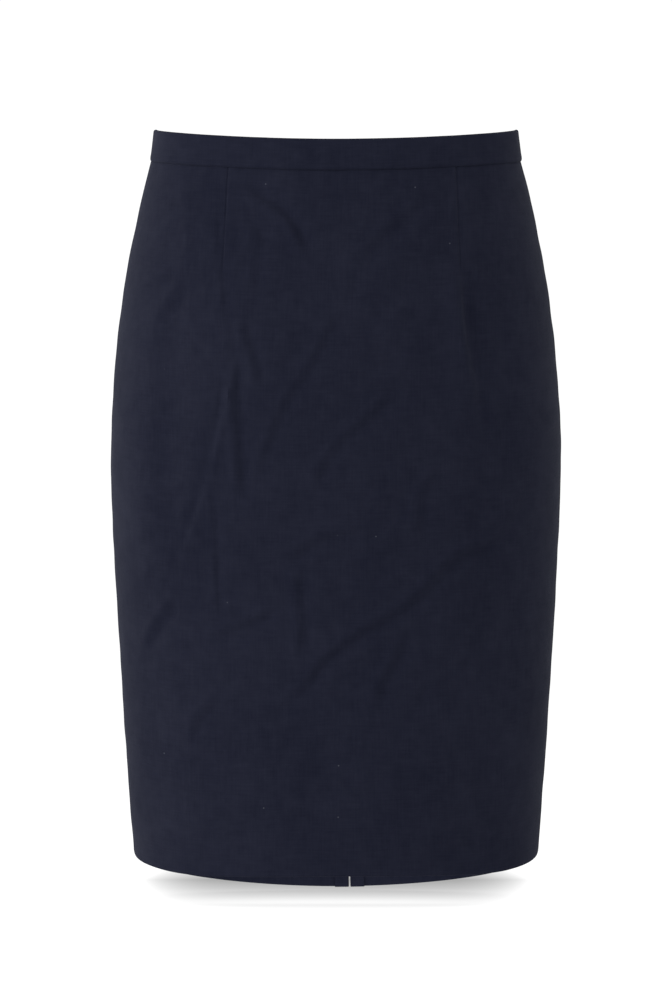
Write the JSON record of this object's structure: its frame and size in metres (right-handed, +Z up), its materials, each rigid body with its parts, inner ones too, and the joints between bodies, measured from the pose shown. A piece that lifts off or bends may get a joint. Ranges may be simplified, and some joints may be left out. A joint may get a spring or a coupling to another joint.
{
  "type": "pencil skirt",
  "caption": "Knee-length pencil skirt in dark navy cloth, hollow as if worn, with a narrow waistband, front darts, a centre-back zip and a hem slit.",
  "frame": {"origin": "centre of the waist ring, level with the middle of the waistband at the side seams", "axes": "+Z up along the skirt, -Y towards the centre front, +X towards the wearer's left"},
  "size_m": [0.3598, 0.247, 0.6119],
  "materials": {
    "navy_cloth": "matte fine woven cotton blend, faint nap",
    "zip_tape": "matte woven polyester tape",
    "zip_metal": "satin navy enamel"
  },
  "bodies": {
    "skirt": {"front_panel": "navy_cloth", "back_panel_left": "navy_cloth", "back_panel_right": "navy_cloth", "waistband": "navy_cloth", "zip_tape_left": "zip_tape", "zip_tape_right": "zip_tape", "zip_slider": "zip_metal"},
    "zip_pull": {"zip_pull": "zip_metal"}
  },
  "joints": [
    {"name": "zip_pull_hinge", "type": "hinge", "parent": "skirt", "child": "zip_pull", "pos_m": [0, 0.09531, -0.0046], "axis": [1, 0, 0], "range_deg": [0, 170]}
  ]
}
